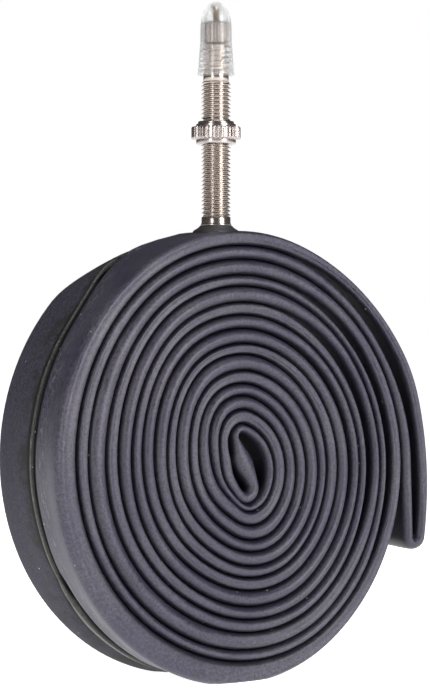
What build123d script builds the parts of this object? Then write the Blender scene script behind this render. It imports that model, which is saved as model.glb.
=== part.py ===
from build123d import *
import os
from math import sin, cos, atan2, acos, degrees, radians, hypot, sqrt

os.makedirs("parts", exist_ok=True)

# Inner tube, flattened, doubled and rolled, valve up. All sizes in mm.
# x = 0, y = 0 is the valve axis, z = 0 the surface it stands on, the roll's axis runs along y.

# ---- the flattened tube
TUBE_W = 25.0          # lay-flat width, along y
BAND_T = 2.40          # thickness of the flattened tube, both walls
PITCH = 2.68           # spacing of neighbouring layers in the roll
CAVITY_T = 0.50        # air left between the walls
CAVITY_W = 22.6        # width of that air
EDGE_R = 1.0           # rounding of the folded edges
TURNS = 7              # doubled turns

# ---- the doubled spiral: ovals of four arcs about four centres
CORE_X, CORE_Z = -1.2, 43.7    # middle of the roll
CORE_TILT = 10.0               # turn of the ovals
OVAL_E = 9.6                   # spread of the top and bottom centres
OVAL_A = 60.0                  # where the end arcs meet the side arcs
CORE_R = 2.70                  # first loop
TONGUE_R = 1.90                # folded end in the core
FOLD_R = 1.60                  # folded end on the outside
LEG_START = 60.0
LEG = ((52.0, 32.0), (34.0, 14.0), (73.7, -8.2))   # outer run down to its fold: radius, end angle
REST_CUT = 0.60                # how far the bottom layer is pressed flat

# ---- valve
FOOT_BASE_R, FOOT_TOP_R, FOOT_TOP_Z = 4.38, 3.25, 91.35
BORE_R = 1.90                  # air way through foot and stem
FLANGE_R, FLANGE_Z, FLANGE_T = 3.70, 90.25, 0.50
STEM_R = 2.95                  # 6 mm thread, outside
STEM_PITCH = 0.80
STEM_DEPTH = 0.42
COLLAR_TOP_Z = 93.10           # plain ring under the thread
THREAD_Z0, THREAD_Z1 = 93.30, 120.20
STEM_TOP_Z = 120.35
SEAT_Z = 112.00                # step inside the stem that the core's gasket sits on
CORE_SCREW_R = 2.10
PUMP_R = 2.60                  # 5.2 mm pump thread
PUMP_PITCH = 1.058
PUMP_DEPTH = 0.40
PUMP_Z0, PUMP_Z1 = 122.80, 127.85
NECK_R = 2.56
CORE_LOW_R, CORE_LOW_Z = 1.60, 108.00
PIN_R, PIN_TOP_Z = 0.75, 135.60
PIN_PITCH, PIN_DEPTH = 0.50, 0.12
RUN = 0.05                     # radial running clearance
SEAL_R, SEAL_H = 1.50, 2.40
HOLD_R, HOLD_H = 1.15, 0.90
LOCK_R, LOCK_Z0, LOCK_Z1, LOCK_TOP_Z = 2.30, 127.90, 132.10, 132.70
LOCK_RIBS = 22

# ---- rim nut
NUT_Z = 110.00                 # middle of its travel position as found
NUT_BODY_R, NUT_BODY_H = 4.00, 4.75
NUT_RIM_R, NUT_RIM_H = 5.00, 2.55
NUT_RIBS = 36

# ---- dust cap
CAP_Z0, CAP_STEP_Z, CAP_NOSE_Z = 121.75, 127.90, 131.50
CAP_SKIRT_R, CAP_STEP_R, CAP_WALL_R = 3.71, 3.30, 3.12
CAP_NOSE_H, CAP_IN_H = 5.15, 4.50
CAP_IN_R, CAP_TOP_IN_R = 2.68, 2.60
CAP_RIBS = 6


def unit(a):
    return cos(radians(a)), sin(radians(a))


def turned(p):
    c, s = unit(CORE_TILT)
    return p[0] * c - p[1] * s + CORE_X, p[0] * s + p[1] * c + CORE_Z


def moved(p, a, d):
    c, s = unit(a)
    return p[0] + c * d, p[1] + s * d


def roll_path():
    """Centre line of the rolled tube, one closed loop of arcs and lines, in x and z."""
    s, c = sin(radians(OVAL_A)), cos(radians(OVAL_A))
    d = (OVAL_E / s + PITCH) / 2
    top = (PITCH * c / 2, OVAL_E / 2)
    bot = (-top[0], -top[1])
    right = moved(top, OVAL_A, -d)
    left = (-right[0], -right[1])
    tongue = moved(top, 90, CORE_R - TONGUE_R)
    dx, dz = tongue[0] - bot[0], tongue[1] - bot[1]
    beta = degrees(atan2(dz, dx)) - degrees(acos((CORE_R + TONGUE_R) / hypot(dx, dz)))
    t, a = CORE_TILT, OVAL_A
    arc = lambda cen, r, a0, a1: ("arc", turned(cen), r, a0 + t, a1 + t)
    path = [
        ("line", turned(moved(bot, beta, CORE_R)), turned(moved(tongue, beta, -TONGUE_R))),
        arc(tongue, TONGUE_R, 180 + beta, 90),
        arc(top, CORE_R, 90, a),
    ]
    r = CORE_R
    for k in range(TURNS):
        path.append(arc(right, r + d, a, -a))
        path.append(arc(bot, r + PITCH, -a, a - 180))
        path.append(arc(left, r + PITCH + d, a - 180, -180 - a))
        r += 2 * PITCH
        last = k == TURNS - 1
        path.append(arc(top, r, 180 - a, LEG_START if last else a))
    # the outer run leaves the ovals and goes down to its fold
    cen, ang = turned(top), LEG_START + t
    for r_next, a_next in LEG:
        cen = moved(cen, ang, r - r_next)
        r = r_next
        path.append(("arc", cen, r, ang, a_next))
        ang = a_next
    fold = moved(cen, ang, r - FOLD_R)
    rb = CORE_R + (2 * TURNS - 1) * PITCH + d
    cr = turned(right)
    dx, dz = fold[0] - cr[0], fold[1] - cr[1]
    back = degrees(atan2(dz, dx)) + degrees(acos(min(1, (rb + FOLD_R) / hypot(dx, dz))))
    path.append(("arc", fold, FOLD_R, ang, back - 180))
    path.append(("line", moved(fold, back, -FOLD_R), moved(cr, back, rb)))
    # and the inner run goes home between the turns of the first
    path.append(("arc", cr, rb, back, a + t))
    r = rb - d
    while True:
        path.append(arc(top, r, a, 180 - a))
        r -= PITCH
        path.append(arc(left, r + d, 180 - a, 180 + a))
        if r < CORE_R + 0.01:
            break
        path.append(arc(bot, r, 180 + a, 360 - a))
        r -= PITCH
        path.append(arc(right, r + d, -a, a))
    path.append(arc(bot, r, 180 + a, 360 + beta))
    return path


def path_length(path):
    return sum(
        hypot(s[2][0] - s[1][0], s[2][1] - s[1][1]) if s[0] == "line" else abs(radians(s[4] - s[3])) * s[2]
        for s in path
    )


def offset_loop(path, off, y):
    """The path shifted sideways by off, as a closed wire in the plane at y."""
    edges = []
    for s in path:
        if s[0] == "line":
            p, q = s[1], s[2]
            n = hypot(q[0] - p[0], q[1] - p[1])
            nx, nz = -(q[1] - p[1]) / n * off, (q[0] - p[0]) / n * off
            edges.append(Edge.make_line((p[0] + nx, y, p[1] + nz), (q[0] + nx, y, q[1] + nz)))
        else:
            _, cen, r, a0, a1 = s
            rr = r - off if a1 > a0 else r + off
            pts = [moved(cen, a, rr) for a in (a0, (a0 + a1) / 2, a1)]
            edges.append(Edge.make_three_point_arc(*[(p[0], y, p[1]) for p in pts]))
    return Wire(edges)


def band(path, thick, width):
    """The path given a thickness and a width."""
    loops = [offset_loop(path, sgn * thick / 2, -width / 2) for sgn in (1, -1)]
    loops.sort(key=lambda w: Face(w).area)
    face = Face(loops[1], [loops[0]])
    return Solid.extrude(face, Vector(0, width, 0))


def turned_profile(points):
    """A solid of revolution about z from (radius, z) points."""
    points = [p for i, p in enumerate(points)
              if i == 0 or hypot(p[0] - points[i - 1][0], p[1] - points[i - 1][1]) > 1e-6]
    return revolve(Plane.XZ * make_face(Polyline(*points, close=True)), Axis.Z)


def threaded(r, depth, pitch, z0, z1):
    """Outline points of a thread between z0 and z1, seen as rings, bottom to top."""
    n = int((z1 - z0) / pitch)
    zs = z0 + ((z1 - z0) - n * pitch) / 2
    pts = [(r, z0)]
    for k in range(n):
        z = zs + k * pitch
        pts += [(r, z + 0.06 * pitch), (r - depth, z + 0.44 * pitch),
                (r - depth, z + 0.56 * pitch), (r, z + 0.94 * pitch)]
    return pts + [(r, z1)]


def ring(r_out, r_in, z0, z1):
    return turned_profile([(r_in, z0), (r_out, z0), (r_out, z1), (r_in, z1)])


def knurled(r, depth, count, z0, z1):
    """A disc with straight ribs round it."""
    disc = Pos(0, 0, z0) * extrude(Circle(r), z1 - z0)
    cut = Pos(r + depth * 0.35, 0, z0) * extrude(Circle(depth * 1.35), z1 - z0)
    return disc - [Rot(0, 0, 360 * k / count) * cut for k in range(count)]


# ================================================================ tube
path = roll_path()
tube = band(path, BAND_T, TUBE_W)
long_edges = [e for e in tube.edges() if abs(abs(e.center().Y) - TUBE_W / 2) < 1e-6]
try:
    tube = tube.fillet(EDGE_R, long_edges)
except Exception as err:
    print("edges left square:", err)
tube = tube - band(path, CAVITY_T, CAVITY_W)
bottom = tube.bounding_box().min.Z
print("bottom of the roll before it is pressed flat", round(bottom, 3))
tube = tube - Pos(0, 0, bottom + REST_CUT - 5) * Box(60, 40, 10)
lower = Pos(0, 0, 88.9 + 3.0) * Cylinder(BORE_R, 6.0)
tube = tube - lower

# ================================================================ valve stem and foot
stem_pts = [
    (BORE_R, FLANGE_Z), (FLANGE_R, FLANGE_Z), (FLANGE_R, FLANGE_Z + FLANGE_T),
    (STEM_R, FLANGE_Z + FLANGE_T + 0.25), (STEM_R, FOOT_TOP_Z), (STEM_R + 0.12, FOOT_TOP_Z),
    (STEM_R + 0.12, FOOT_TOP_Z + 0.2), (STEM_R, FOOT_TOP_Z + 0.35), (STEM_R, COLLAR_TOP_Z - 0.1),
    (STEM_R - 0.3, COLLAR_TOP_Z), (STEM_R - 0.3, THREAD_Z0 - 0.05),
]
stem_pts += threaded(STEM_R, STEM_DEPTH, STEM_PITCH, THREAD_Z0, THREAD_Z1)
stem_pts += [
    (STEM_R - 0.25, STEM_TOP_Z), (CORE_SCREW_R + 0.02, STEM_TOP_Z),
    (CORE_SCREW_R + 0.02, SEAT_Z), (BORE_R, SEAT_Z),
]
valve_stem = turned_profile(stem_pts)

foot = turned_profile([
    (BORE_R, 88.5), (FOOT_BASE_R + 0.35, 88.5), (FOOT_BASE_R + 0.35, 90.0), (FOOT_BASE_R, 90.25),
    (FOOT_TOP_R, FOOT_TOP_Z), (BORE_R, FOOT_TOP_Z),
])
roll_top = band(path, BAND_T, TUBE_W) & (Pos(0, 0, 90) * Box(14, 14, 6))
foot = foot - roll_top - turned_profile(
    [(0, FLANGE_Z), (FLANGE_R, FLANGE_Z), (FLANGE_R, FLANGE_Z + FLANGE_T),
     (STEM_R, FLANGE_Z + FLANGE_T + 0.25), (STEM_R, FOOT_TOP_Z + 1), (0, FOOT_TOP_Z + 1)])
valve_foot = max(foot.solids(), key=lambda s: s.bounding_box().max.Z)

# ================================================================ valve core
core_pts = [
    (PIN_R + RUN, CORE_LOW_Z), (CORE_LOW_R - 0.25, CORE_LOW_Z), (CORE_LOW_R, CORE_LOW_Z + 0.3),
    (CORE_LOW_R, SEAT_Z + 1.0), (CORE_SCREW_R, SEAT_Z + 1.0), (CORE_SCREW_R, STEM_TOP_Z),
    (NECK_R - 0.12, STEM_TOP_Z), (NECK_R, STEM_TOP_Z + 0.15), (NECK_R, PUMP_Z0 - 0.5),
    (PUMP_R - PUMP_DEPTH, PUMP_Z0 - 0.3), (PUMP_R - PUMP_DEPTH, PUMP_Z0 - 0.05),
]
core_pts += threaded(PUMP_R, PUMP_DEPTH, PUMP_PITCH, PUMP_Z0, PUMP_Z1 - 0.25)
core_pts += [(PUMP_R - 0.25, PUMP_Z1), (PIN_R + RUN, PUMP_Z1)]
core_body = turned_profile(core_pts)
core_gasket = ring(CORE_SCREW_R, CORE_LOW_R, SEAT_Z, SEAT_Z + 1.0)

seal_top = CORE_LOW_Z - 0.05
seal_low = seal_top - SEAL_H
pin_pts = [(0, seal_low - HOLD_H - 0.3), (PIN_R * 0.8, seal_low - HOLD_H - 0.3),
           (PIN_R * 0.8, seal_top), (PIN_R, seal_top), (PIN_R, PUMP_Z1 - 1.0)]
pin_pts += threaded(PIN_R, PIN_DEPTH, PIN_PITCH, PUMP_Z1 - 1.0, PIN_TOP_Z - 0.2)
pin_pts += [(PIN_R - 0.15, PIN_TOP_Z), (0, PIN_TOP_Z)]
core_pin = turned_profile(pin_pts)
pin_seal = turned_profile([(PIN_R * 0.8, seal_low), (SEAL_R, seal_low), (SEAL_R, seal_low + 1.5),
                           (CORE_LOW_R - 0.45, seal_top), (PIN_R * 0.8, seal_top)])
seal_collar = ring(HOLD_R, PIN_R * 0.8, seal_low - HOLD_H, seal_low)

lock = knurled(LOCK_R, 0.16, LOCK_RIBS, LOCK_Z0 + 0.3, LOCK_Z1)
lock += turned_profile([(0, LOCK_Z0), (LOCK_R - 0.45, LOCK_Z0), (LOCK_R - 0.2, LOCK_Z0 + 0.3),
                        (0, LOCK_Z0 + 0.3)])
lock += turned_profile([(0, LOCK_Z1), (LOCK_R - 0.05, LOCK_Z1), (LOCK_R - 0.05, LOCK_Z1 + 0.25),
                        (LOCK_R - 0.8, LOCK_TOP_Z), (0, LOCK_TOP_Z)])
lock_nut = lock - Pos(0, 0, (LOCK_Z0 + LOCK_TOP_Z) / 2) * Cylinder(PIN_R + RUN, 8)

# ================================================================ rim nut
nut_lo, nut_hi = NUT_Z - NUT_BODY_H / 2, NUT_Z + NUT_BODY_H / 2
nut = turned_profile([
    (STEM_R + RUN, nut_lo), (NUT_BODY_R - 0.45, nut_lo), (NUT_BODY_R, nut_lo + 0.4),
    (NUT_BODY_R, nut_hi - 0.45), (NUT_BODY_R - 0.4, nut_hi - 0.15), (NUT_BODY_R - 0.4, nut_hi),
    (STEM_R + RUN, nut_hi)])
rim = knurled(NUT_RIM_R, 0.24, NUT_RIBS, NUT_Z - NUT_RIM_H / 2, NUT_Z + NUT_RIM_H / 2)
edge = turned_profile([(0, NUT_Z - NUT_RIM_H / 2), (NUT_RIM_R - 0.25, NUT_Z - NUT_RIM_H / 2),
                       (NUT_RIM_R, NUT_Z - NUT_RIM_H / 2 + 0.25), (NUT_RIM_R, NUT_Z + NUT_RIM_H / 2 - 0.25),
                       (NUT_RIM_R - 0.25, NUT_Z + NUT_RIM_H / 2), (0, NUT_Z + NUT_RIM_H / 2)])
rim_nut = nut + ((rim & edge) - Pos(0, 0, NUT_Z) * Cylinder(STEM_R + RUN, 9))

# ================================================================ dust cap
rib_h = (CAP_STEP_Z - CAP_Z0 - 0.3) / CAP_RIBS
quarter = [unit(15 * k) for k in range(7)]
with BuildPart() as cap:
    with BuildSketch(Plane.XZ):
        with BuildLine():
            pts = [(CAP_IN_R, CAP_Z0), (CAP_SKIRT_R, CAP_Z0)]
            for k in range(CAP_RIBS):
                f = k / CAP_RIBS
                rr = CAP_SKIRT_R + (CAP_STEP_R - CAP_SKIRT_R) * f
                z = CAP_Z0 + 0.3 + rib_h * k
                pts += [(rr, z), (rr - 0.05, z + 0.1), (rr - 0.05, z + rib_h - 0.1)]
            pts += [(CAP_STEP_R, CAP_STEP_Z), (CAP_WALL_R + 0.06, CAP_STEP_Z + 0.25),
                    (CAP_WALL_R, CAP_NOSE_Z)]
            Polyline(*pts)
            nose = [(CAP_WALL_R * c, CAP_NOSE_Z + CAP_NOSE_H * v) for c, v in quarter]
            Spline(*nose, tangents=[(0, 1), (-1, 0)])
            Line((0, CAP_NOSE_Z + CAP_NOSE_H), (0, CAP_NOSE_Z + CAP_IN_H))
            Spline(*[(CAP_TOP_IN_R * c, CAP_NOSE_Z + CAP_IN_H * v) for c, v in quarter[::-1]],
                   tangents=[(1, 0), (0, -1)])
            Polyline((CAP_TOP_IN_R, CAP_NOSE_Z), (CAP_TOP_IN_R, CAP_STEP_Z + 0.2),
                     (CAP_IN_R, CAP_STEP_Z + 0.1), (CAP_IN_R, CAP_Z0))
        make_face()
    revolve(axis=Axis.Z)
nib_z = CAP_NOSE_Z + CAP_NOSE_H
dust_cap = cap.part + Pos(0, 0, nib_z) * Cylinder(0.38, 0.5)

# ================================================================ everything down onto z = 0
drop = Pos(0, 0, -(bottom + REST_CUT))
parts = dict(tube=tube, valve_foot=valve_foot, valve_stem=valve_stem, rim_nut=rim_nut,
             core_body=core_body, core_gasket=core_gasket, core_pin=core_pin, pin_seal=pin_seal,
             seal_collar=seal_collar, lock_nut=lock_nut, dust_cap=dust_cap)
for name, shape in parts.items():
    export_step(drop * shape, f"parts/{name}.step")
    box = (drop * shape).bounding_box()
    print(name, "solids", len(shape.solids()), "valid", all(s.is_valid for s in shape.solids()),
          [round(v, 2) for v in (*box.min, *box.max)])
print("length of the ring", round(path_length(path)))
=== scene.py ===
import bpy
import math
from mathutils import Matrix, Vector, noise


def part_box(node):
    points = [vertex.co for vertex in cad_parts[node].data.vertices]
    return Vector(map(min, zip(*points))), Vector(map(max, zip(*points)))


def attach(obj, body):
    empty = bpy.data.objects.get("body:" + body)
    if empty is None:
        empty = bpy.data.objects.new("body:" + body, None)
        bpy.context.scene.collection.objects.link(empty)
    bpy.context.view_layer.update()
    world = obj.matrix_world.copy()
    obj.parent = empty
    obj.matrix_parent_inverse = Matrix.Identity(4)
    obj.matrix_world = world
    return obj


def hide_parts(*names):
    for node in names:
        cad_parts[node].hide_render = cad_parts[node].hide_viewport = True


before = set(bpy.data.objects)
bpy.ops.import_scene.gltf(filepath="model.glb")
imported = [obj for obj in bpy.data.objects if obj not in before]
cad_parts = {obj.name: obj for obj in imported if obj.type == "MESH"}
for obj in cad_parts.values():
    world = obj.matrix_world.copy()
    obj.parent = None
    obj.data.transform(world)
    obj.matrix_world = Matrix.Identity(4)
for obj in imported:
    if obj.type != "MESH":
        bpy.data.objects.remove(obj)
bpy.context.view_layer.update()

# A flattened bicycle inner tube, doubled and rolled, with its Presta valve standing up.
# Metres throughout; MM turns a size in millimetres into metres.
MM = 0.001
COLLECTION = bpy.context.scene.collection
MATH, VMATH, MIX, RANGE = "ShaderNodeMath", "ShaderNodeVectorMath", "ShaderNodeMix", "ShaderNodeMapRange"


# ------------------------------------------------------------------ helpers
def add(tree, kind, *values, **named):
    """A node. Plain values and links go to its inputs in order; named ones are settings of the
    node if it has such a setting, or else the input of that name."""
    n = tree.nodes.new(kind)
    for key in [k for k in named if hasattr(n, k)]:
        setattr(n, key, named.pop(key))
    for key, value in list(enumerate(values)) + list(named.items()):
        if value is None:
            continue
        if isinstance(key, int):
            socket = n.inputs[key]
        else:
            live = [s for s in n.inputs if s.name == key.replace("_", " ") and s.enabled]
            socket = live[0]
        if isinstance(value, bpy.types.Node):
            value = next(o for o in value.outputs if o.enabled)
        if isinstance(value, bpy.types.NodeSocket):
            tree.links.new(value, socket)
        else:
            socket.default_value = value
    return n


def colour(hex_value, alpha=1.0):
    """An sRGB hex colour as linear RGBA."""
    rgb = [((hex_value >> s) & 255) / 255 for s in (16, 8, 0)]
    return (*[c / 12.92 if c <= 0.04045 else ((c + 0.055) / 1.055) ** 2.4 for c in rgb], alpha)


def new_object(name, verts, faces):
    """A smooth-shaded mesh object at the origin."""
    mesh = bpy.data.meshes.new(name)
    mesh.from_pydata(verts, [], faces)
    mesh.update()
    mesh.shade_smooth()
    obj = bpy.data.objects.new(name, mesh)
    COLLECTION.objects.link(obj)
    return obj


def node_group(name, inputs):
    """An empty geometry tree with named inputs; returns the tree, its input node and its output node."""
    tree = bpy.data.node_groups.new(name, "GeometryNodeTree")
    face = tree.interface
    face.new_socket("Geometry", in_out="INPUT", socket_type="NodeSocketGeometry")
    for label, kind, value in inputs:
        s = face.new_socket(label, in_out="INPUT", socket_type=kind)
        if value is not None:
            s.default_value = value
    face.new_socket("Geometry", in_out="OUTPUT", socket_type="NodeSocketGeometry")
    return tree, tree.nodes.new("NodeGroupInput"), tree.nodes.new("NodeGroupOutput")


def grown(obj, tree, sizes):
    """Runs a geometry tree on an object with the given sizes and keeps the result as a plain mesh."""
    mod = obj.modifiers.new(tree.name, "NODES")
    mod.node_group = tree
    for item in tree.interface.items_tree:
        if item.item_type == "SOCKET" and item.in_out == "INPUT" and item.name in sizes:
            mod[item.identifier] = sizes[item.name]
    obj.update_tag()
    bpy.context.view_layer.update()
    graph = bpy.context.evaluated_depsgraph_get()
    mesh = bpy.data.meshes.new_from_object(obj.evaluated_get(graph))
    mesh.name = obj.name
    obj.modifiers.clear()
    obj.data = mesh
    return obj


def lathe(name, points, sides=72, material=None):
    """A solid of revolution about the valve axis from (radius, height) points in mm, bottom to top
    along the outside and back down the inside if it is hollow."""
    verts, faces, rings = [], [], []
    closed = points[0][0] > 0
    for r, z in points:
        if r <= 1e-6:
            rings.append([len(verts)] * sides)
            verts.append((0, 0, z * MM))
            continue
        rings.append(list(range(len(verts), len(verts) + sides)))
        verts += [(r * MM * math.cos(a), r * MM * math.sin(a), z * MM)
                  for a in (2 * math.pi * k / sides for k in range(sides))]
    pairs = list(zip(rings, rings[1:])) + ([(rings[-1], rings[0])] if closed else [])
    for low, high in pairs:
        for k in range(sides):
            j = (k + 1) % sides
            corners = list(dict.fromkeys((low[k], low[j], high[j], high[k])))
            if len(corners) > 2:
                faces.append(corners)
    obj = new_object(name, verts, faces)
    if material:
        obj.data.materials.append(material)
    return obj


def sharpen(obj, degrees):
    """Keeps edges steeper than this crisp on a smooth mesh."""
    obj.data.set_sharp_from_angle(angle=math.radians(degrees))
    return obj


# ------------------------------------------------------------------ materials
def material(name):
    mat = bpy.data.materials.new(name)
    mat.use_nodes = True
    tree = mat.node_tree
    tree.nodes.clear()
    return mat, tree


def rubber(name, base, dusty, rough, strip_uv=None):
    """Extruded and vulcanised butyl rubber. Dull satin blue-black with soft highlights, drawn-out
    extrusion lines along the tube, a bloom of talc in patches and a few lighter specks. The colour is
    darkened as painted shade in the gaps where the layers face each other. In the pinch a near-black
    painted shade fills the crease, a lighter grey paints a highlight on the fin behind it and a
    near-black painted shade lies along the trough behind the fin; the wall behind that is a little
    greyer and stained."""
    mat, t = material(name)
    where = add(t, "ShaderNodeTexCoord").outputs["Object"]
    cloud = add(t, "ShaderNodeTexNoise", where, Scale=1 / (22 * MM), Detail=5.0, Roughness=0.62)
    fine = add(t, "ShaderNodeTexNoise", where, Scale=1 / (0.5 * MM), Detail=3.0, Roughness=0.8)
    bloom = add(t, RANGE, cloud, From_Min=0.45, From_Max=0.75, To_Max=dusty)
    tone = add(t, MIX, data_type="RGBA", Factor=bloom, A=colour(base), B=colour(0x7A7778))
    grain = add(t, RANGE, fine, From_Min=0.4, From_Max=0.6, To_Min=0.52, To_Max=1.48)
    shine = add(t, RANGE, fine, From_Min=0.3, From_Max=0.7, To_Min=rough - 0.08, To_Max=rough + 0.12)
    height = fine
    if strip_uv:
        # extrusion lines: long along the ring, about 0.45 mm apart across it
        uv = add(t, "ShaderNodeUVMap", uv_map=strip_uv)
        drawn = add(t, "ShaderNodeMapping", uv, Scale=(1 / (40 * MM), 1 / (0.45 * MM), 1.0))
        lines = add(t, "ShaderNodeTexNoise", drawn, Scale=1.0, Detail=3.0)
        height = add(t, MATH, lines, 0.6, height, operation="MULTIPLY_ADD")
        streak = add(t, "ShaderNodeMapping", uv, Scale=(1 / (60 * MM), 1 / (1.1 * MM), 1.0))
        talc = add(t, "ShaderNodeTexNoise", streak, Scale=1.0, Detail=4.0, Roughness=0.7)
        past = add(t, "ShaderNodeAttribute", attribute_name=PAST_PINCH).outputs["Fac"]
        # painted shade: the colour is darkened to a quarter in the gaps where the layers face each other,
        # and a touch lighter on the crests of the folded edges
        shade_free = add(t, "ShaderNodeAttribute", attribute_name=CLEAR_OF_GAP_SHADE).outputs["Fac"]
        lit = add(t, RANGE, shade_free, To_Min=0.25, To_Max=1.08)
        tone = add(t, VMATH, tone, operation="SCALE", Scale=lit)

        def band(start, end, soft=0.35):
            """1 between two distances behind the pinch, in mm, fading to 0 outside them."""
            rise = add(t, RANGE, past, interpolation_type="SMOOTHSTEP", From_Min=(start - soft) * MM,
                       From_Max=start * MM)
            fall = add(t, RANGE, past, interpolation_type="SMOOTHSTEP", From_Min=end * MM,
                       From_Max=(end + soft) * MM, To_Min=1.0, To_Max=0.0)
            return add(t, MATH, rise, fall, operation="MULTIPLY")

        mottle = add(t, "ShaderNodeTexNoise", where, Scale=1 / (5 * MM), Detail=7.0, Roughness=0.72)
        stain = add(t, RANGE, mottle, From_Min=0.46, From_Max=0.58)
        stain = add(t, MATH, stain, band(3.0, 5.2, 2.6), operation="MULTIPLY")
        matt = add(t, MATH, band(-0.1, 1.05, 0.12), band(2.9, 40), operation="MAXIMUM")
        shine = add(t, MATH, matt, 0.3, shine, operation="MULTIPLY_ADD")
        stain = add(t, MATH, stain, 0.85, operation="MULTIPLY")
        tone = add(t, MIX, data_type="RGBA", Factor=band(3.4, 40), A=tone, B=colour(0x2F2D39))
        tone = add(t, MIX, data_type="RGBA", Factor=stain, A=tone, B=colour(0x1A1B18))
        # painted highlight: a lighter grey on the top of the fin behind the crease
        tone = add(t, MIX, data_type="RGBA", Factor=band(1.15, 2.8, 0.12), A=tone, B=colour(0x3D3E3B))
        # painted shade: near black in the crease in front of the fin
        tone = add(t, MIX, data_type="RGBA", Factor=band(-0.5, 1.05, 0.15), A=tone, B=colour(0x020202))
        # painted shade: near black along the trough behind the fin
        tone = add(t, MIX, data_type="RGBA", Factor=band(2.9, 3.4), A=tone, B=colour(0x0A0A0B))
        smear = add(t, RANGE, talc, From_Min=0.52, From_Max=0.7, To_Max=0.4)
        chalked = add(t, MATH, band(1.5, 2.6), band(-3.4, -1.8, 1.0), operation="ADD")
        smear = add(t, MATH, smear, chalked, operation="MULTIPLY")
        tone = add(t, MIX, data_type="RGBA", Factor=smear, A=tone, B=colour(0x9C9B95))
    mixed = add(t, VMATH, tone, operation="SCALE", Scale=grain)
    # talc specks, about 0.2 to 0.4 mm across
    cells = add(t, "ShaderNodeTexVoronoi", where, Scale=1 / (2.6 * MM), Randomness=1.0)
    speck = add(t, RANGE, cells.outputs["Distance"], From_Min=0.04, From_Max=0.085,
                To_Min=1.0, To_Max=0.0)
    rare = add(t, MATH, cells.outputs["Color"], 0.72, operation="GREATER_THAN")
    dot = add(t, MATH, speck, rare, operation="MULTIPLY")
    dot = add(t, MATH, dot, 0.7, operation="MULTIPLY")
    last = add(t, MIX, data_type="RGBA", Factor=dot, A=mixed, B=colour(0xC9C6C2))
    bump = add(t, "ShaderNodeBump", Strength=0.5, Distance=0.08 * MM, Height=height)
    shader = add(t, "ShaderNodeBsdfPrincipled", last, Roughness=shine, IOR=1.5,
                 Normal=bump)
    add(t, "ShaderNodeOutputMaterial", shader)
    return mat


def plated(name, base, shade, rough, wear=0.25):
    """Turned brass with a bright nickel plate: a warm grey mirror slightly broken up by turning
    marks, duller and yellower in patches where hands and talc have been."""
    mat, t = material(name)
    where = add(t, "ShaderNodeTexCoord").outputs["Object"]
    patch = add(t, "ShaderNodeTexNoise", where, Scale=1 / (2.5 * MM), Detail=5.0, Roughness=0.65)
    rings = add(t, "ShaderNodeMapping", where, Scale=(1 / (3 * MM), 1 / (3 * MM), 1 / (0.25 * MM)))
    marks = add(t, "ShaderNodeTexNoise", rings, Scale=1.0, Detail=2.0)
    worn = add(t, RANGE, patch, From_Min=0.4, From_Max=0.75, To_Max=wear)
    tone = add(t, MIX, data_type="RGBA", Factor=worn, A=colour(base), B=colour(shade))
    shine = add(t, RANGE, patch, From_Min=0.3, From_Max=0.75, To_Min=rough, To_Max=rough + 0.16)
    bump = add(t, "ShaderNodeBump", Strength=0.05, Distance=0.006 * MM, Height=marks)
    shader = add(t, "ShaderNodeBsdfPrincipled", tone, Metallic=1.0,
                 Roughness=shine, Normal=bump)
    add(t, "ShaderNodeOutputMaterial", shader)
    return mat


def clear_plastic(name):
    """Injection-moulded clear polystyrene, thin walled: nearly colourless, glossy, a faint haze from
    the mould and fine scuffs that catch the light."""
    mat, t = material(name)
    where = add(t, "ShaderNodeTexCoord").outputs["Object"]
    haze = add(t, "ShaderNodeTexNoise", where, Scale=1 / (3.0 * MM), Detail=4.0)
    shine = add(t, RANGE, haze, From_Min=0.35, From_Max=0.7, To_Min=0.03, To_Max=0.12)
    tone = add(t, MIX, data_type="RGBA", Factor=haze, A=colour(0xF4F5F5), B=colour(0xE6E8E8))
    bump = add(t, "ShaderNodeBump", Strength=0.06, Distance=0.05 * MM, Height=haze)
    shader = add(t, "ShaderNodeBsdfPrincipled", tone, Roughness=shine, IOR=1.5, Alpha=0.42,
                 Transmission_Weight=0.9, Normal=bump)
    add(t, "ShaderNodeOutputMaterial", shader)
    return mat


# the third name marks how far a point is clear of the painted shade between the layers
STRIP, PAST_PINCH, CLEAR_OF_GAP_SHADE = "strip", "past_pinch", "clear_of_gap_shade"
butyl = rubber("butyl_rubber_extruded", 0x312E3E, 0.17, 0.4, STRIP)
foot_rubber = rubber("butyl_rubber_moulded", 0x2C2C2E, 0.15, 0.46)
seal_rubber = rubber("nitrile_rubber_moulded", 0x232326, 0.1, 0.5)
nickel = plated("nickel_plated_brass_turned", 0xB9AFA8, 0x85776A, 0.17)
nut_nickel = plated("nickel_plated_brass_knurled", 0xB4ABA8, 0x7E7168, 0.17)
lock_nickel = plated("nickel_plated_brass_tarnished", 0x8F8580, 0x4E4640, 0.24, 0.5)
pin_brass = plated("bare_brass_rolled_thread", 0x7A6850, 0x463A2C, 0.34, 0.6)
cap_plastic = clear_plastic("clear_polystyrene_moulded")


# ------------------------------------------------------------------ the rolled tube
BAND_T, PITCH, TURNS = 2.40, 2.68, 7          # thickness and spacing of the layers in mm
CORE_X, CORE_TILT = -1.2, 10.0                # middle of the roll, mm, and how far it leans, degrees
OVAL_E, OVAL_A = 9.6, 60.0                    # between the end arcs' centres, mm; side arcs' reach, degrees
CORE_R, TONGUE_R, FOLD_R = 2.70, 1.90, 1.60   # bends of the core, its tongue and the outer fold, mm
LEG_START = 60.0                              # where the outer leg leaves the oval, degrees
LEG = ((52.0, 32.0), (34.0, 14.0), (73.7, -8.2))    # its arcs: radius in mm and end in degrees


def unit(a):
    """The unit vector at an angle in degrees."""
    return Vector((math.cos(math.radians(a)), math.sin(math.radians(a))))


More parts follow.
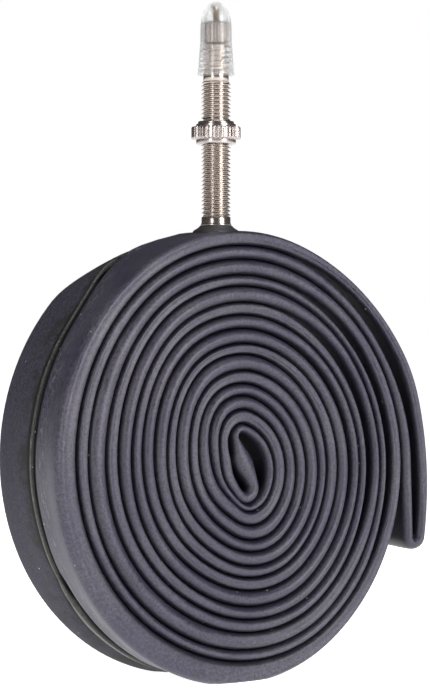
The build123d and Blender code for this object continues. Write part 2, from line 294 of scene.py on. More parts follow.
def roll_arcs():
    """The centre line of the roll as arcs and lines in the plane of the spiral, about its middle, mm.
    Run out from the folded core, round the outer fold and back in between the turns."""
    s, c = math.sin(math.radians(OVAL_A)), math.cos(math.radians(OVAL_A))
    d = (OVAL_E / s + PITCH) / 2
    top = Vector((PITCH * c / 2, OVAL_E / 2))
    bottom = -top
    right = top - unit(OVAL_A) * d
    left = -right
    tongue = top + unit(90) * (CORE_R - TONGUE_R)
    span = tongue - bottom
    beta = math.degrees(math.atan2(span.y, span.x) - math.acos((CORE_R + TONGUE_R) / span.length))

    def turned(p):
        c0, s0 = unit(CORE_TILT)
        return Vector((p.x * c0 - p.y * s0 + CORE_X, p.x * s0 + p.y * c0))

    def arc(centre, r, a0, a1):
        return ("arc", turned(centre), r, a0 + CORE_TILT, a1 + CORE_TILT)

    a = OVAL_A
    path = [("line", turned(bottom + unit(beta) * CORE_R), turned(tongue - unit(beta) * TONGUE_R)),
            arc(tongue, TONGUE_R, 180 + beta, 90), arc(top, CORE_R, 90, a)]
    r = CORE_R
    for k in range(TURNS):
        path += [arc(right, r + d, a, -a), arc(bottom, r + PITCH, -a, a - 180),
                 arc(left, r + PITCH + d, a - 180, -180 - a)]
        r += 2 * PITCH
        path.append(arc(top, r, 180 - a, LEG_START if k == TURNS - 1 else a))
    centre, ang = turned(top), LEG_START + CORE_TILT
    for r_next, a_next in LEG:
        centre = centre + unit(ang) * (r - r_next)
        r = r_next
        path.append(("arc", centre, r, ang, a_next))
        ang = a_next
    fold = centre + unit(ang) * (r - FOLD_R)
    rb, cr = CORE_R + (2 * TURNS - 1) * PITCH + d, turned(right)
    span = fold - cr
    back = math.degrees(math.atan2(span.y, span.x) + math.acos(min(1, (rb + FOLD_R) / span.length)))
    path += [("arc", fold, FOLD_R, ang, back - 180),
             ("line", fold - unit(back) * FOLD_R, cr + unit(back) * rb),
             ("arc", cr, rb, back, a + CORE_TILT)]
    r = rb - d
    while True:
        path.append(arc(top, r, a, 180 - a))
        r -= PITCH
        path.append(arc(left, r + d, 180 - a, 180 + a))
        if r < CORE_R + 0.01:
            break
        path.append(arc(bottom, r, 180 + a, 360 - a))
        r -= PITCH
        path.append(arc(right, r + d, -a, a))
    path.append(arc(bottom, r, 180 + a, 360 + beta))
    return path


def path_points(path, step=1.9, turn=9.0):
    """Points along the path no further apart than step, in mm, or turn, in degrees, each with the
    direction to its left and its distance along the ring."""
    out, run = [], 0.0
    for s in path:
        if s[0] == "line":
            way = s[2] - s[1]
            n = max(2, math.ceil(way.length / step))
            left = Vector((-way.y, way.x)).normalized()
            out += [(s[1] + way * (k / n), left, run + way.length * k / n) for k in range(n)]
            run += way.length
        else:
            _, centre, r, a0, a1 = s
            size = abs(math.radians(a1 - a0)) * r
            n = max(2, math.ceil(size / step), math.ceil(abs(a1 - a0) / turn))
            sign = -1 if a1 > a0 else 1
            for k in range(n):
                d = unit(a0 + (a1 - a0) * k / n)
                out.append((centre + d * r, d * sign, run + size * k / n))
            run += size
    return out, run


SHAPES = ("lift", "half", "shift", "groove", "split", "place", "slack", "gape")


def rolled_tube_tree():
    """Gives a path of points the section of a flattened tube: two soft rolls at the folded edges, a
    thinner middle and, in the outward wall of the outermost turn, the pinched groove with its fin.
    The path is a mesh of loose points with these attributes: left and along, the way across the
    path and the distance along it; lift and half, the middle and the half thickness of the layer;
    shift, across the roll; groove, place and gape, how deep, where and how wide the pinch is; split,
    how far the edges part; slack, how thin the middle may be."""
    t, into, out = node_group("flattened_tube_along_path", [
        ("Section Points", "NodeSocketInt", 76), ("Half Width", "NodeSocketFloat", 12.0 * MM),
        ("Edge Length", "NodeSocketFloat", 2.2 * MM), ("Edge Share", "NodeSocketFloat", 0.47),
        ("Bunching", "NodeSocketFloat", 1.8), ("Waist", "NodeSocketFloat", 0.26),
        ("Crease Depth", "NodeSocketFloat", 2.2 * MM), ("Fin Height", "NodeSocketFloat", 0.9 * MM),
        ("Undercut", "NodeSocketFloat", 2.0 * MM),
        ("Split Depth", "NodeSocketFloat", 0.6 * MM),
        ("Core", "NodeSocketVector", (0, 0, 0)), ("Back Drop", "NodeSocketFloat", 0.035),
        ("Rubber", "NodeSocketMaterial", None)])
    size = {s.name: s for s in into.outputs}
    count = add(t, "GeometryNodeAttributeDomainSize", size["Geometry"], component="MESH")
    rows = add(t, MATH, count, 1.0, operation="ADD")
    columns = add(t, MATH, size["Section Points"], 1.0, operation="ADD")
    grid = add(t, "GeometryNodeMeshGrid", 1.0, 1.0, rows, columns)
    index = add(t, "GeometryNodeInputIndex")
    row = add(t, MATH, add(t, MATH, index, columns, operation="DIVIDE"), operation="FLOOR")
    column = add(t, MATH, index, columns, operation="MODULO")
    along_row = add(t, MATH, row, count, operation="MODULO")

    def sampled(name, kind):
        field = (add(t, "GeometryNodeInputPosition") if name == "position"
                 else add(t, "GeometryNodeInputNamedAttribute", name, data_type=kind))
        return add(t, "GeometryNodeSampleIndex", data_type=kind, domain="POINT",
                   Geometry=size["Geometry"], Value=field, Index=along_row)

    place, left = sampled("position", "FLOAT_VECTOR"), sampled("left", "FLOAT_VECTOR")
    lift, half, shift, groove, split, centre, slack, gape = [sampled(n, "FLOAT") for n in SHAPES]
    # round the section: 0 and 2 are the folded edges, 1 and 3 the middles of the two walls
    quarter = add(t, MATH, add(t, MATH, column, 4.0, operation="MULTIPLY"), size["Section Points"],
                  operation="DIVIDE")
    inward = add(t, MATH, quarter, 1.0, operation="PINGPONG")
    side = add(t, MATH, add(t, MATH, add(t, MATH, quarter, 2.0, operation="SUBTRACT"),
                            operation="ABSOLUTE"), 1.0, operation="SUBTRACT")
    side = add(t, MATH, side, operation="SIGN")
    face = add(t, MATH, add(t, MATH, 2.0, quarter, operation="SUBTRACT"), operation="SIGN")
    turn = add(t, RANGE, inward, From_Min=0.0, From_Max=size["Edge Share"], To_Max=math.pi / 2)
    flat = add(t, RANGE, inward, From_Min=size["Edge Share"], From_Max=1.0)
    to_middle = add(t, MATH, add(t, MATH, 1.0, flat, operation="SUBTRACT"), size["Bunching"],
                    operation="POWER")
    straight = add(t, MATH, add(t, MATH, size["Half Width"], size["Edge Length"], operation="SUBTRACT"),
                   to_middle, operation="MULTIPLY")
    across = add(t, MATH, add(t, MATH, turn, operation="COSINE"), size["Edge Length"], straight,
                 operation="MULTIPLY_ADD")
    tip = add(t, RANGE, turn, interpolation_type="SMOOTHSTEP", From_Min=0.0, From_Max=0.8,
              To_Min=size["Split Depth"], To_Max=0.0)
    across = add(t, MATH, across, add(t, MATH, tip, split, operation="MULTIPLY"), operation="SUBTRACT")
    across = add(t, MATH, add(t, MATH, across, side, operation="MULTIPLY"), shift, operation="ADD")
    # points crowd where the groove is
    crowd = add(t, MATH, add(t, MATH, 1.0, to_middle, operation="SUBTRACT"),
                add(t, MATH, centre, 0.8 * MM, operation="ADD"), operation="MULTIPLY")
    across = add(t, MATH, across, crowd, operation="ADD")
    thinner = add(t, MATH, size["Waist"], slack, operation="MULTIPLY")
    waist = add(t, RANGE, flat, interpolation_type="SMOOTHSTEP", From_Min=0.0, From_Max=0.3,
                To_Min=1.0, To_Max=add(t, MATH, 1.0, thinner, operation="SUBTRACT"))
    thick = add(t, MATH, add(t, MATH, add(t, MATH, turn, operation="SINE"), half,
                             operation="MULTIPLY"), waist, operation="MULTIPLY")
    # a crease, a fin standing in it and a shallow trough behind, in the outward wall only
    # measured from the middle of the crease, stretched by its gape and put back
    from_groove = add(t, MATH, across, centre, operation="SUBTRACT")
    from_groove = add(t, MATH, from_groove, 0.45 * MM, operation="SUBTRACT")
    from_groove = add(t, MATH, from_groove, gape, operation="DIVIDE")
    from_groove = add(t, MATH, from_groove, 0.45 * MM, operation="ADD")
    in_crease = add(t, MATH, add(t, MATH, from_groove, 0.45 * MM, operation="SUBTRACT"),
                    operation="ABSOLUTE")
    outward = add(t, MATH, groove, add(t, MATH, face, 0.0, operation="MAXIMUM"), operation="MULTIPLY")
    in_crease = add(t, RANGE, in_crease, interpolation_type="SMOOTHSTEP", From_Min=0.42 * MM,
                    From_Max=0.75 * MM, To_Min=1.0, To_Max=0.0)
    crease = add(t, MATH, in_crease, size["Crease Depth"], operation="MULTIPLY")
    behind_it = add(t, MATH, add(t, MATH, from_groove, 3.1 * MM, operation="SUBTRACT"),
                    operation="ABSOLUTE")
    trough = add(t, RANGE, behind_it, interpolation_type="SMOOTHSTEP", From_Min=0.2 * MM,
                 From_Max=1.0 * MM, To_Min=size["Fin Height"], To_Max=0.0)
    dip = add(t, MATH, crease, trough, operation="MAXIMUM")
    dip = add(t, MATH, dip, outward, operation="MULTIPLY")
    # the fin leans forward over the crease, which runs in under it
    under = add(t, MATH, add(t, MATH, in_crease, outward, operation="MULTIPLY"), size["Undercut"],
                operation="MULTIPLY")
    across = add(t, MATH, across, under, operation="ADD")
    out_by = add(t, MATH, add(t, MATH, thick, face, operation="MULTIPLY"), dip, operation="SUBTRACT")
    out_by = add(t, MATH, out_by, lift, operation="ADD")
    spot = add(t, VMATH, place, add(t, VMATH, left, operation="SCALE", Scale=out_by), operation="ADD")
    spot = add(t, VMATH, spot, add(t, "ShaderNodeCombineXYZ", 0.0, across, 0.0), operation="ADD")
    # the back of the roll sits lower than the front round the valve: drawn in towards the core
    from_core = add(t, VMATH, spot, size["Core"], operation="SUBTRACT")
    flat_off = add(t, VMATH, from_core, (1.0, 0.0, 1.0), operation="MULTIPLY")
    lean = math.radians(101)
    facing = add(t, VMATH, add(t, VMATH, flat_off, operation="NORMALIZE"),
                 (math.cos(lean), 0.0, math.sin(lean)), operation="DOT_PRODUCT").outputs["Value"]
    near = add(t, RANGE, facing, interpolation_type="SMOOTHSTEP", From_Min=0.84, From_Max=0.99)
    behind = add(t, RANGE, across, interpolation_type="SMOOTHSTEP", From_Min=4.2 * MM, From_Max=9 * MM)
    pull = add(t, MATH, add(t, MATH, near, behind, operation="MULTIPLY"), size["Back Drop"],
               operation="MULTIPLY")
    spot = add(t, VMATH, spot, add(t, VMATH, flat_off, operation="SCALE", Scale=pull),
               operation="SUBTRACT")
    # it rests on z = 0
    parts = add(t, "ShaderNodeSeparateXYZ", spot)
    rest = add(t, MATH, parts.outputs["Z"], 0.0, operation="MAXIMUM")
    spot = add(t, "ShaderNodeCombineXYZ", parts.outputs["X"], parts.outputs["Y"], rest)
    body = add(t, "GeometryNodeSetPosition", grid.outputs["Mesh"], Position=spot)
    last = add(t, MATH, row, count, 0.5, operation="COMPARE")
    length = add(t, "GeometryNodeAttributeStatistic", size["Geometry"], data_type="FLOAT",
                 Attribute=add(t, "GeometryNodeInputNamedAttribute", "along", data_type="FLOAT"))
    run = add(t, MATH, last, length.outputs["Max"], sampled("along", "FLOAT"), operation="MULTIPLY_ADD")
    strip = add(t, "ShaderNodeCombineXYZ", run, add(t, MATH, quarter, 13.0 * MM, operation="MULTIPLY"))
    body = add(t, "GeometryNodeStoreNamedAttribute", body, data_type="FLOAT2", domain="CORNER",
               Name=STRIP, Value=strip)
    # how far behind the pinch each point lies; everywhere else counts as far in front of it
    past = add(t, MATH, add(t, MATH, outward, 1.0, operation="SUBTRACT"), 60 * MM, from_groove,
               operation="MULTIPLY_ADD")
    body = add(t, "GeometryNodeStoreNamedAttribute", body, data_type="FLOAT", domain="POINT",
               Name=PAST_PINCH, Value=past)
    # painted shade mask: 1 on the crests of the folded edges and on the outward wall with the pinch,
    # falling to 0 on the walls that face the next layer; the rubber's colour is darkened by it
    clear_of_gap_shade = add(t, RANGE, turn, From_Min=0.15, From_Max=1.35, To_Min=1.0, To_Max=0.0)
    clear_of_gap_shade = add(t, MATH, clear_of_gap_shade, outward, operation="MAXIMUM")
    body = add(t, "GeometryNodeStoreNamedAttribute", body, data_type="FLOAT", domain="POINT",
               Name=CLEAR_OF_GAP_SHADE, Value=clear_of_gap_shade)
    body = add(t, "GeometryNodeMergeByDistance", body, Distance=0.002 * MM)
    body = add(t, "GeometryNodeSetShadeSmooth", body)
    body = add(t, "GeometryNodeRealizeInstances", body)
    body = add(t, "GeometryNodeSetMaterial", body, Material=size["Rubber"])
    t.links.new(body.outputs[0], out.inputs[0])
    return t


def ramp(value, low, high):
    """0 below low, 1 above high and a soft step between."""
    f = max(0.0, min(1.0, (value - low) / (high - low)))
    return f * f * (3 - 2 * f)


# How the layers lie, in mm: all of them a little closer in than evenly wound ones, closest at the
# lower left where the roll was squeezed, at so much of a turn clockwise from the top, and nowhere
# quite even. The outside of the roll keeps its size.
CLOSER, SQUEEZE, SQUEEZE_AT, UNEVEN = 0.7, 2.7, 0.67, 0.6


def seam_moved(turn, odd):
    """How far out the seam at so many turns from the top lies from an evenly wound one, in mm.
    Odd seams are those inside the strand that winds outwards."""
    squeezed = ramp(math.cos(2 * math.pi * (turn - SQUEEZE_AT)), -0.1, 0.95)
    uneven = noise.noise(Vector((2.3 * turn, 5.0 * odd, 0.4)))
    wound = ramp(turn, -1.0, 0.0) * (1 - ramp(turn, 5.0, 6.6))
    return (UNEVEN * uneven - CLOSER - SQUEEZE * squeezed) * wound


def evened(values, runs, ring, reach):
    """A running mean round the closed ring over so many mm each way."""
    n, out = len(values), []
    for k in range(n):
        total = weight = 0.0
        for side in (1, -1):
            j = 0 if side == 1 else 1
            while j < n:
                away = abs(runs[(k + side * j) % n] - runs[k])
                away = min(away, ring - away)
                if away > reach:
                    break
                w = 1 - away / reach
                total, weight, j = total + w * values[(k + side * j) % n], weight + w, j + 1
        out.append(total / weight)
    return out


# The pinch, in mm behind the middle of the rim: by the valve, up the left side and underneath. It
# moves and opens between these angles, in degrees anticlockwise from the right.
AT_VALVE, UP_LEFT, UNDERNEATH = 7.4, -2.2, -0.4
FORWARD, BENEATH, BACK_AGAIN = (98, 141), (215, 262), (285, 360)
OPENING, CLOSING = (205, 232), (252, 285)


def crease_place(round_by, run):
    """Where the pinch lies across the roll, in mm behind its middle, at an angle round the roll. It
    is at the rear by the valve and down the right, and just in front of the middle up the left."""
    place = AT_VALVE + (UP_LEFT - AT_VALVE) * ramp(round_by, *FORWARD)
    place += (UNDERNEATH - UP_LEFT) * ramp(round_by, *BENEATH)
    place += (AT_VALVE - UNDERNEATH) * ramp(round_by, *BACK_AGAIN)
    return place + 0.3 * noise.noise(Vector((run / 12, 2.2, 8)))


def crease_gape(round_by, run):
    """How many times its usual width the pinch is; it stands open at the lower left."""
    wider = 0.95 + 0.4 * noise.noise(Vector((run / 9, 4.4, 6)))
    return 1.0 + wider * ramp(round_by, *OPENING) * (1 - ramp(round_by, *CLOSING))


TONGUE_TOP, TONGUE_FAT = 4.7, 1.1             # height of the tongue's end and its added thickness, mm
FOLD_X, FOLD_Z = 40, 30                       # the outer fold lies past the one and under the other, mm
LEG_NEAR, LEG_FAR = 22, 52                    # along the tube from the fold the legs turn into roll, mm
LAYER_GAP, RIGHT_GAP = 0.05, 0.7              # taken off a layer, and the gaps on the upper right, mm
THINNEST, USUAL_HALF, WIDEST_HALF = 0.8, 1.35, 1.8   # half thicknesses of a layer, mm


def rolled_tube():
    """The whole ring of rubber, flattened, doubled and rolled."""
    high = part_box("tube")[1]
    points, ring = path_points(roll_arcs())
    rise = high[2] / MM - BAND_T / 2 - max(p.y for p, _, _ in points)
    tongue_end = next(run for p, _, run in points if p.y > TONGUE_TOP)
    fold_at = next(run for p, _, run in points if p.x > FOLD_X and p.y + rise < FOLD_Z)

    def turns(p):
        """How far round from the top a point lies, in turns."""
        return 0.25 - math.atan2(p.y, p.x - CORE_X) / (2 * math.pi)

    def moved(q, turn, odd):
        return seam_moved(turn + (turns(q) - turn + 0.5) % 1 - 0.5, odd)

    verts, left = [], []
    values = {name: [] for name in ("along",) + SHAPES}
    turn = turns(next(p for p, _, run in points if run >= tongue_end))
    turn -= round(turn)
    folded = False
    for p, d, run in points:
        verts.append(Vector((p.x, 0, p.y + rise)) * MM)
        left.append(Vector((d.x, 0, d.y)))
        outermost = ramp(run, fold_at - 320, fold_at - 300) * (1 - ramp(run, fold_at - 14, fold_at))
        off_leg = ramp(abs(run - fold_at), LEG_NEAR, LEG_FAR)
        way = 1 if run < fold_at else -1
        inner = outer = fat = 0.0
        if run < tongue_end:
            fat = TONGUE_FAT * math.sin(math.pi * run / tongue_end)
        else:
            turn += (turns(p) - turn + 0.5) % 1 - 0.5
            if way == -1 and not folded:
                turn, folded = turn - 1, True
            out_seam, in_seam = p + d * way * PITCH / 2, p - d * way * PITCH / 2
            if way == 1:
                outer, inner = moved(out_seam, turn, 0), moved(in_seam, turn - 1, 1)
            else:
                outer, inner = moved(out_seam, turn, 1), moved(in_seam, turn, 0)
            inner, outer = inner * off_leg, outer * off_leg
            # every second seam gapes on the upper right of the roll, outside the fourth turn
            open_right = ramp(math.cos(2 * math.pi * (turn - 0.2)), 0.5, 0.97) * ramp(turn, 3.4, 4.4)
            gap = RIGHT_GAP * open_right * off_leg
            if way == 1:
                inner += gap
            else:
                outer -= gap
        half = (PITCH + outer - inner) / 2 + fat
        # layers wander across the roll, and thin ones stand a little proud
        slow = noise.noise(Vector((run / 55, 1.7, 0)))
        quick = noise.noise(Vector((run / 16, 5.1, 3)))
        proud = (USUAL_HALF - min(half, WIDEST_HALF)) * off_leg
        by_valve = ramp(abs(p.x), 4.6, 9.0) if p.y > 0 else 1.0
        parting = ramp(noise.noise(Vector((run / 70, 9.3, 1))), 0.0, 0.35)
        round_by = math.degrees(math.atan2(p.y, p.x - CORE_X)) % 360
        values["along"].append(run * MM)
        values["lift"].append(way * (inner + outer) / 2 * MM)
        values["half"].append(max(THINNEST, half - LAYER_GAP) * MM * (0.95 + 0.05 * off_leg))
        values["shift"].append((0.30 * slow + 0.10 * quick + 0.45 * proud) * MM)
        values["groove"].append(outermost * by_valve)
        values["slack"].append(by_valve)
        values["split"].append(max(parting, outermost))
        values["place"].append(crease_place(round_by, run) * MM)
        values["gape"].append(crease_gape(round_by, run))
    runs = [run for _, _, run in points]
    for name, reach in (("lift", 3.0), ("half", 3.0), ("shift", 6.0)):
        values[name] = evened(values[name], runs, ring, reach)
    obj = new_object("rolled_tube", verts, [])
    for name, data in values.items():
        obj.data.attributes.new(name, "FLOAT", "POINT").data.foreach_set("value", data)
    obj.data.attributes.new("left", "FLOAT_VECTOR", "POINT").data.foreach_set(
        "vector", [c for v in left for c in v])
    return grown(obj, rolled_tube_tree(), {"Rubber": butyl, "Core": (CORE_X * MM, 0, rise * MM)})


tube = rolled_tube()
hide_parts("tube")
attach(tube, "roll")


# ------------------------------------------------------------------ threads and knurls
def thread_tree():
    """Cuts a right-handed thread into the outside, or with a negative depth the inside, of a turned
    piece between two heights."""
    t, into, out = node_group("cut_thread", [
        ("From", "NodeSocketFloat", 0.0), ("To", "NodeSocketFloat", 1.0),
        ("Pitch", "NodeSocketFloat", 0.8 * MM), ("Depth", "NodeSocketFloat", 0.4 * MM),
        ("Radius", "NodeSocketFloat", 3 * MM), ("Run Out", "NodeSocketFloat", 0.5 * MM),
        ("Finish", "NodeSocketMaterial", None)])
    size = {s.name: s for s in into.outputs}
    place = add(t, "GeometryNodeInputPosition")
    xyz = add(t, "ShaderNodeSeparateXYZ", place)
    z = xyz.outputs["Z"]
    around = add(t, MATH, add(t, MATH, xyz.outputs["Y"], xyz.outputs["X"], operation="ARCTAN2"),
                 2 * math.pi, operation="DIVIDE")
    rise = add(t, MATH, z, size["Pitch"], operation="DIVIDE")
    phase = add(t, MATH, rise, around, operation="SUBTRACT")
    flank = add(t, MATH, phase, 0.5, operation="PINGPONG")
    cut = add(t, RANGE, flank, From_Min=0.06, From_Max=0.40, To_Max=size["Depth"])
    start = add(t, RANGE, z, From_Min=size["From"],
                From_Max=add(t, MATH, size["From"], size["Run Out"], operation="ADD"))
    end = add(t, RANGE, z, From_Min=add(t, MATH, size["To"], size["Run Out"], operation="SUBTRACT"),
              From_Max=size["To"], To_Min=1.0, To_Max=0.0)
    flat = add(t, VMATH, place, (1.0, 1.0, 0.0), operation="MULTIPLY")
    radius = add(t, VMATH, flat, operation="LENGTH").outputs["Value"]
    on_it = add(t, MATH, radius, size["Radius"], 0.02 * MM, operation="COMPARE")
    cut = add(t, MATH, add(t, MATH, cut, start, operation="MULTIPLY"), end, operation="MULTIPLY")
    cut = add(t, MATH, cut, -1.0, operation="MULTIPLY")
    away = add(t, VMATH, add(t, VMATH, flat, operation="NORMALIZE"), operation="SCALE", Scale=cut)
    body = add(t, "GeometryNodeSetPosition", size["Geometry"], Selection=on_it, Offset=away)
    body = add(t, "GeometryNodeRealizeInstances", body)
    body = add(t, "GeometryNodeSetMaterial", body, Material=size["Finish"])
    t.links.new(body.outputs[0], out.inputs[0])
    return t


def knurl_tree():
    """Rolls straight ribs round a turned collar between two heights."""
    t, into, out = node_group("straight_knurl", [
        ("From", "NodeSocketFloat", 0.0), ("To", "NodeSocketFloat", 1.0), ("Ribs", "NodeSocketInt", 36),
        ("Depth", "NodeSocketFloat", 0.25 * MM), ("Radius", "NodeSocketFloat", 5 * MM),
        ("Finish", "NodeSocketMaterial", None)])
    size = {s.name: s for s in into.outputs}
    place = add(t, "GeometryNodeInputPosition")
    xyz = add(t, "ShaderNodeSeparateXYZ", place)
    z = xyz.outputs["Z"]
    around = add(t, MATH, add(t, MATH, xyz.outputs["Y"], xyz.outputs["X"], operation="ARCTAN2"),
                 2 * math.pi, operation="DIVIDE")
    phase = add(t, MATH, around, size["Ribs"], operation="MULTIPLY")
    flank = add(t, MATH, phase, 0.5, operation="PINGPONG")
    cut = add(t, RANGE, flank, interpolation_type="SMOOTHSTEP", From_Min=0.18, From_Max=0.45,
              To_Max=size["Depth"])
    start = add(t, RANGE, z, From_Min=add(t, MATH, size["From"], 0.02 * MM, operation="SUBTRACT"),
                From_Max=size["From"])
    end = add(t, RANGE, z, From_Min=size["To"], To_Min=1.0, To_Max=0.0,
              From_Max=add(t, MATH, size["To"], 0.02 * MM, operation="ADD"))
    flat = add(t, VMATH, place, (1.0, 1.0, 0.0), operation="MULTIPLY")
    radius = add(t, VMATH, flat, operation="LENGTH").outputs["Value"]
    outside = add(t, MATH, radius, size["Radius"], operation="GREATER_THAN")
    cut = add(t, MATH, add(t, MATH, cut, start, operation="MULTIPLY"), end, operation="MULTIPLY")
    cut = add(t, MATH, cut, -1.0, operation="MULTIPLY")
    away = add(t, VMATH, add(t, VMATH, flat, operation="NORMALIZE"), operation="SCALE", Scale=cut)
    body = add(t, "GeometryNodeSetPosition", size["Geometry"], Selection=outside, Offset=away)
    body = add(t, "GeometryNodeRealizeInstances", body)
    body = add(t, "GeometryNodeSetMaterial", body, Material=size["Finish"])
    t.links.new(body.outputs[0], out.inputs[0])
    return t


cut_thread, straight_knurl = thread_tree(), knurl_tree()


def rows(r, low, high, step):
    """Points up a straight cylinder, close enough together to take a thread or a knurl."""
    n = math.ceil((high - low) / step)
    return [(r, low + (high - low) * k / n) for k in range(n + 1)]


def heights(node):
    """Bottom and top of a CAD node, in mm."""
    low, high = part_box(node)
    return low[2] / MM, high[2] / MM


def fit(piece, node, body):
    """Puts a piece in its CAD node's place, on the node's body."""
    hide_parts(node)
    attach(piece, body)
    return piece


# ------------------------------------------------------------------ valve stem and foot
STEM_R, BORE_R, STEM_PITCH = 2.95, 1.90, 0.80
foot_low, foot_top = heights("valve_foot")
z0, z1 = heights("valve_stem")
stem = lathe("valve_stem_threaded", [
    (BORE_R, z0), (3.70, z0), (3.70, z0 + 0.5), (STEM_R, z0 + 0.75), (STEM_R, foot_top - 0.05),
    (3.08, foot_top), (3.10, foot_top + 0.2), (2.98, foot_top + 0.38), (STEM_R - 0.02, foot_top + 0.6),
    (STEM_R - 0.02, z0 + 2.72), (2.80, z0 + 2.86), (2.62, z0 + 2.90), (2.62, z0 + 3.0)]
    + rows(STEM_R, z0 + 3.08, z0 + 29.85, STEM_PITCH / 8)
    + [(2.72, z1 - 0.05), (2.62, z1), (2.14, z1), (2.12, z1 - 0.1), (2.12, z0 + 21.75),
       (BORE_R, z0 + 21.75)],
    sides=64)
grown(stem, cut_thread, {"From": (z0 + 2.9) * MM, "To": (z0 + 30.1) * MM, "Pitch": STEM_PITCH * MM,
                         "Depth": 0.44 * MM, "Radius": STEM_R * MM, "Run Out": 0.3 * MM,
                         "Finish": nickel})
fit(stem, "valve_stem", "roll")
sharpen(stem, 85)

foot_cone = lathe("valve_foot_moulded", [
    (BORE_R, foot_low), (4.70, foot_low), (4.72, foot_low + 0.55), (4.60, foot_low + 0.75),
    (4.36, foot_low + 0.93), (4.05, foot_low + 1.12), (3.72, foot_low + 1.32), (3.46, foot_low + 1.55),
    (3.30, foot_low + 1.74), (3.18, foot_top - 0.01), (3.06, foot_top), (2.96, foot_top - 0.05),
    (2.955, foot_low + 1.3), (3.72, foot_low + 1.28), (3.72, foot_low + 0.7), (BORE_R, foot_low + 0.7)],
    material=foot_rubber)
fit(foot_cone, "valve_foot", "roll")

# ------------------------------------------------------------------ rim nut
low, high = heights("rim_nut")
mid = (low + high) / 2
NUT_BORE = 3.0
nut = lathe("rim_nut_knurled", [
    (NUT_BORE, low + 0.15), (NUT_BORE + 0.15, low), (3.55, low), (3.78, low + 0.08), (3.96, low + 0.3),
    (4.00, low + 0.5), (4.00, mid - 1.33), (4.55, mid - 1.31), (4.78, mid - 1.27), (4.92, mid - 1.16)]
    + rows(4.98, mid - 1.0, mid + 1.0, 0.25)
    + [(4.92, mid + 1.16), (4.78, mid + 1.27), (4.55, mid + 1.31), (4.00, mid + 1.33),
       (4.00, high - 0.72), (3.96, high - 0.55), (3.74, high - 0.48), (3.62, high - 0.42),
       (3.62, high - 0.12), (3.52, high), (NUT_BORE + 0.15, high), (NUT_BORE, high - 0.15)], sides=288)
grown(nut, straight_knurl, {"From": (mid - 1.2) * MM, "To": (mid + 1.2) * MM, "Ribs": 36,
                            "Depth": 0.26 * MM, "Radius": 4.85 * MM, "Finish": nut_nickel})
fit(nut, "rim_nut", "nut")
sharpen(nut, 40)

# ------------------------------------------------------------------ valve core
PIN_R, PUMP_R, PUMP_PITCH = 0.75, 2.60, 1.058
low, high = heights("core_body")
core = lathe("core_body_threaded", [
    (PIN_R + 0.05, low), (1.35, low), (1.6, low + 0.3), (1.6, low + 5.0), (2.1, low + 5.0),
    (2.1, low + 12.35), (2.44, low + 12.35), (2.56, low + 12.5), (2.56, low + 14.2), (2.3, low + 14.45),
    (2.2, low + 14.6)]
    + rows(PUMP_R, low + 14.8, high - 0.3, PUMP_PITCH / 10)
    + [(2.35, high - 0.05), (2.2, high), (PIN_R + 0.2, high), (PIN_R + 0.05, high - 0.15)], sides=64)
grown(core, cut_thread, {"From": (low + 14.6) * MM, "To": (high - 0.1) * MM, "Pitch": PUMP_PITCH * MM,
                         "Depth": 0.44 * MM, "Radius": PUMP_R * MM, "Run Out": 0.3 * MM,
                         "Finish": nickel})
fit(core, "core_body", "roll")
sharpen(core, 50)

low, high = heights("core_pin")
pin = lathe("core_pin_threaded", [(0, low), (0.55, low), (0.6, low + 0.06), (0.6, low + 3.6),
                                  (PIN_R - 0.01, low + 3.6)]
            + rows(PIN_R, low + 22.5, high - 0.25, 0.07)
            + [(0.66, high - 0.14), (0.55, high - 0.04), (0.4, high), (0, high)], sides=40)
grown(pin, cut_thread, {"From": (low + 22.4) * MM, "To": high * MM, "Pitch": 0.5 * MM,
                        "Depth": 0.13 * MM, "Radius": PIN_R * MM, "Run Out": 0.2 * MM,
                        "Finish": pin_brass})
fit(pin, "core_pin", "pin")

low, high = heights("lock_nut")
lock = lathe("lock_nut_knurled", [
    (PIN_R + 0.05, low + 0.1), (PIN_R + 0.15, low), (1.7, low), (1.88, low + 0.06), (2.1, low + 0.3)]
    + rows(2.29, low + 0.5, low + 3.9, 0.34)
    + [(2.2, low + 4.05), (2.06, low + 4.15), (2.08, low + 4.25), (2.25, low + 4.3), (2.25, low + 4.42),
       (2.05, low + 4.5), (1.5, high), (PIN_R + 0.15, high), (PIN_R + 0.05, high - 0.1)], sides=176)
grown(lock, straight_knurl, {"From": (low + 0.4) * MM, "To": (low + 4.0) * MM, "Ribs": 22,
                             "Depth": 0.2 * MM, "Radius": 2.2 * MM, "Finish": lock_nickel})
fit(lock, "lock_nut", "lock")
sharpen(lock, 40)

# ------------------------------------------------------------------ dust cap
low, high = heights("dust_cap")
NOSE_Z, NOSE_R, NOSE_H, IN_R, IN_H, CAP_BORE = low + 9.75, 3.12, 5.15, 2.60, 4.50, 2.68
outside = [(CAP_BORE, low), (3.60, low), (3.70, low + 0.08), (3.71, low + 0.25)]
STEPS, STEP_H, SKIRT_R, SKIRT_IN = 6, 0.975, 3.71, 0.41
for k in range(STEPS):
    r = SKIRT_R - SKIRT_IN * k / STEPS
    z = low + 0.3 + STEP_H * k
    outside += [(r, z), (r - 0.03, z + 0.16), (r - 0.13, z + 0.36), (r - 0.13, z + STEP_H - 0.14)]
outside += [(3.30, low + 6.15), (3.24, low + 6.3), (3.18, low + 6.45), (3.16, low + 8.0)]
outside += [(NOSE_R * math.cos(a), NOSE_Z + NOSE_H * math.sin(a))
            for a in (math.radians(5 * k) for k in range(17))]
outside += [(0.40, NOSE_Z + NOSE_H - 0.03), (0.38, high - 0.06), (0.30, high), (0, high)]
inside = [(0, NOSE_Z + IN_H)] + [(IN_R * math.cos(a), NOSE_Z + IN_H * math.sin(a))
                                 for a in (math.radians(84 - 7 * k) for k in range(13))]
inside += [(IN_R, low + 6.4)] + rows(CAP_BORE, low + 0.1, low + 6.2, 0.13)[::-1]
cap = lathe("dust_cap_moulded", outside + inside, sides=72)
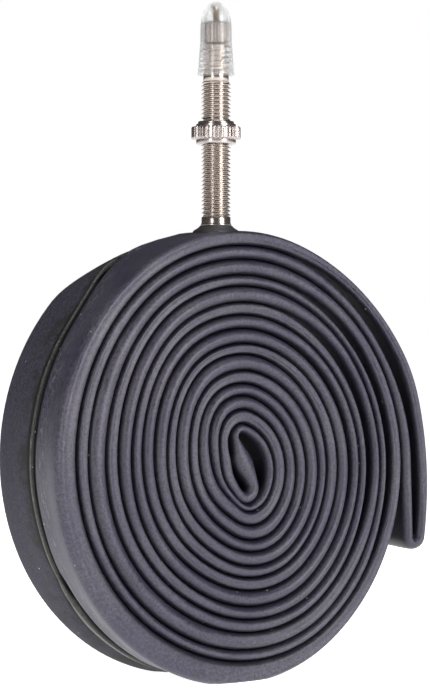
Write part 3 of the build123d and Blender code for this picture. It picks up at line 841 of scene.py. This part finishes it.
grown(cap, cut_thread, {"From": (low + 0.4) * MM, "To": (low + 6.1) * MM, "Pitch": PUMP_PITCH * MM,
                        "Depth": -0.22 * MM, "Radius": CAP_BORE * MM, "Run Out": 0.3 * MM,
                        "Finish": cap_plastic})
fit(cap, "dust_cap", "cap")


# ------------------------------------------------------------------ CAD nodes that keep their shape
def dress(node, mat):
    """Gives a CAD node's own mesh a finish."""
    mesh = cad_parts[node].data
    mesh.materials.clear()
    mesh.materials.append(mat)


for node, mat in (("core_gasket", seal_rubber), ("pin_seal", seal_rubber), ("seal_collar", pin_brass)):
    dress(node, mat)


# ------------------------------------------------------------------ studio
def studio():
    """A dim grey room, a white sheet all round that only the camera and clear plastic see, and a
    pale floor."""
    world = bpy.data.worlds.new("studio")
    bpy.context.scene.world = world
    world.use_nodes = True
    t = world.node_tree
    t.nodes.clear()
    add(t, "ShaderNodeOutputWorld", add(t, "ShaderNodeBackground", colour(0xFFFFFF), 0.09))
    n, far = 48, 6.0
    ring = [(far * math.cos(2 * math.pi * k / n), far * math.sin(2 * math.pi * k / n)) for k in range(n)]
    verts = [(x, y, -far) for x, y in ring] + [(x, y, far) for x, y in ring]
    faces = [(k, (k + 1) % n, n + (k + 1) % n, n + k) for k in range(n)]
    faces += [tuple(range(n)), tuple(range(n, 2 * n))]
    sheet = new_object("backdrop", verts, faces)
    mat, t = material("white_backdrop")
    add(t, "ShaderNodeOutputMaterial", add(t, "ShaderNodeEmission", colour(0xFFFFFF), 1.0))
    sheet.data.materials.append(mat)
    sheet.visible_diffuse = sheet.visible_glossy = sheet.visible_shadow = False
    sheet.visible_volume_scatter = False
    floor = new_object("floor", [(-3, -3, 0), (3, -3, 0), (3, 3, 0), (-3, 3, 0)], [(0, 1, 2, 3)])
    mat, t = material("matt_white_paper")
    shader = add(t, "ShaderNodeBsdfPrincipled", colour(0xFAFAFA), Roughness=0.9,
                 Emission_Color=colour(0xFFFFFF), Emission_Strength=0.95)
    add(t, "ShaderNodeOutputMaterial", shader)
    floor.data.materials.append(mat)


def light(name, place, aim, size, watts):
    """A white soft box."""
    data = bpy.data.lights.new(name, "AREA")
    data.shape, data.size, data.size_y = "RECTANGLE", size[0], size[1]
    data.energy = watts
    obj = bpy.data.objects.new(name, data)
    COLLECTION.objects.link(obj)
    obj.location = place
    obj.rotation_euler = (Vector(aim) - Vector(place)).to_track_quat("-Z", "Y").to_euler()
    obj.visible_camera = False


LENS, SHIFT = 127.151, (-0.00145, -0.06686)   # mm, and shares of the frame's longer side
DISTANCE, EYE_LEVEL, ROUND_BY = 0.491, 0.076, -35.0     # m, m and degrees


def camera():
    """On a level with the roll's upper part, 35 degrees round to the left of its open face."""
    data = bpy.data.cameras.new("camera")
    data.sensor_width, data.lens = 36.0, LENS
    data.shift_x, data.shift_y = SHIFT
    obj = bpy.data.objects.new("camera", data)
    COLLECTION.objects.link(obj)
    a = math.radians(ROUND_BY)
    back = Vector((math.sin(a), -math.cos(a), 0))
    obj.location = back * DISTANCE + Vector((0, 0, EYE_LEVEL))
    obj.rotation_euler = (-back).to_track_quat("-Z", "Y").to_euler()
    bpy.context.scene.camera = obj


studio()
light("key_front", (0.30, -1.1, 0.45), (0, 0, 0.06), (0.42, 0.8), 12.5)
light("fill_left", (-1.0, -0.42, 0.35), (0, 0, 0.06), (0.22, 0.8), 4)
light("overhead", (0.1, -0.2, 1.5), (0, 0, 0.0), (1.0, 0.7), 7)
camera()
bpy.context.scene.view_settings.view_transform = "Standard"
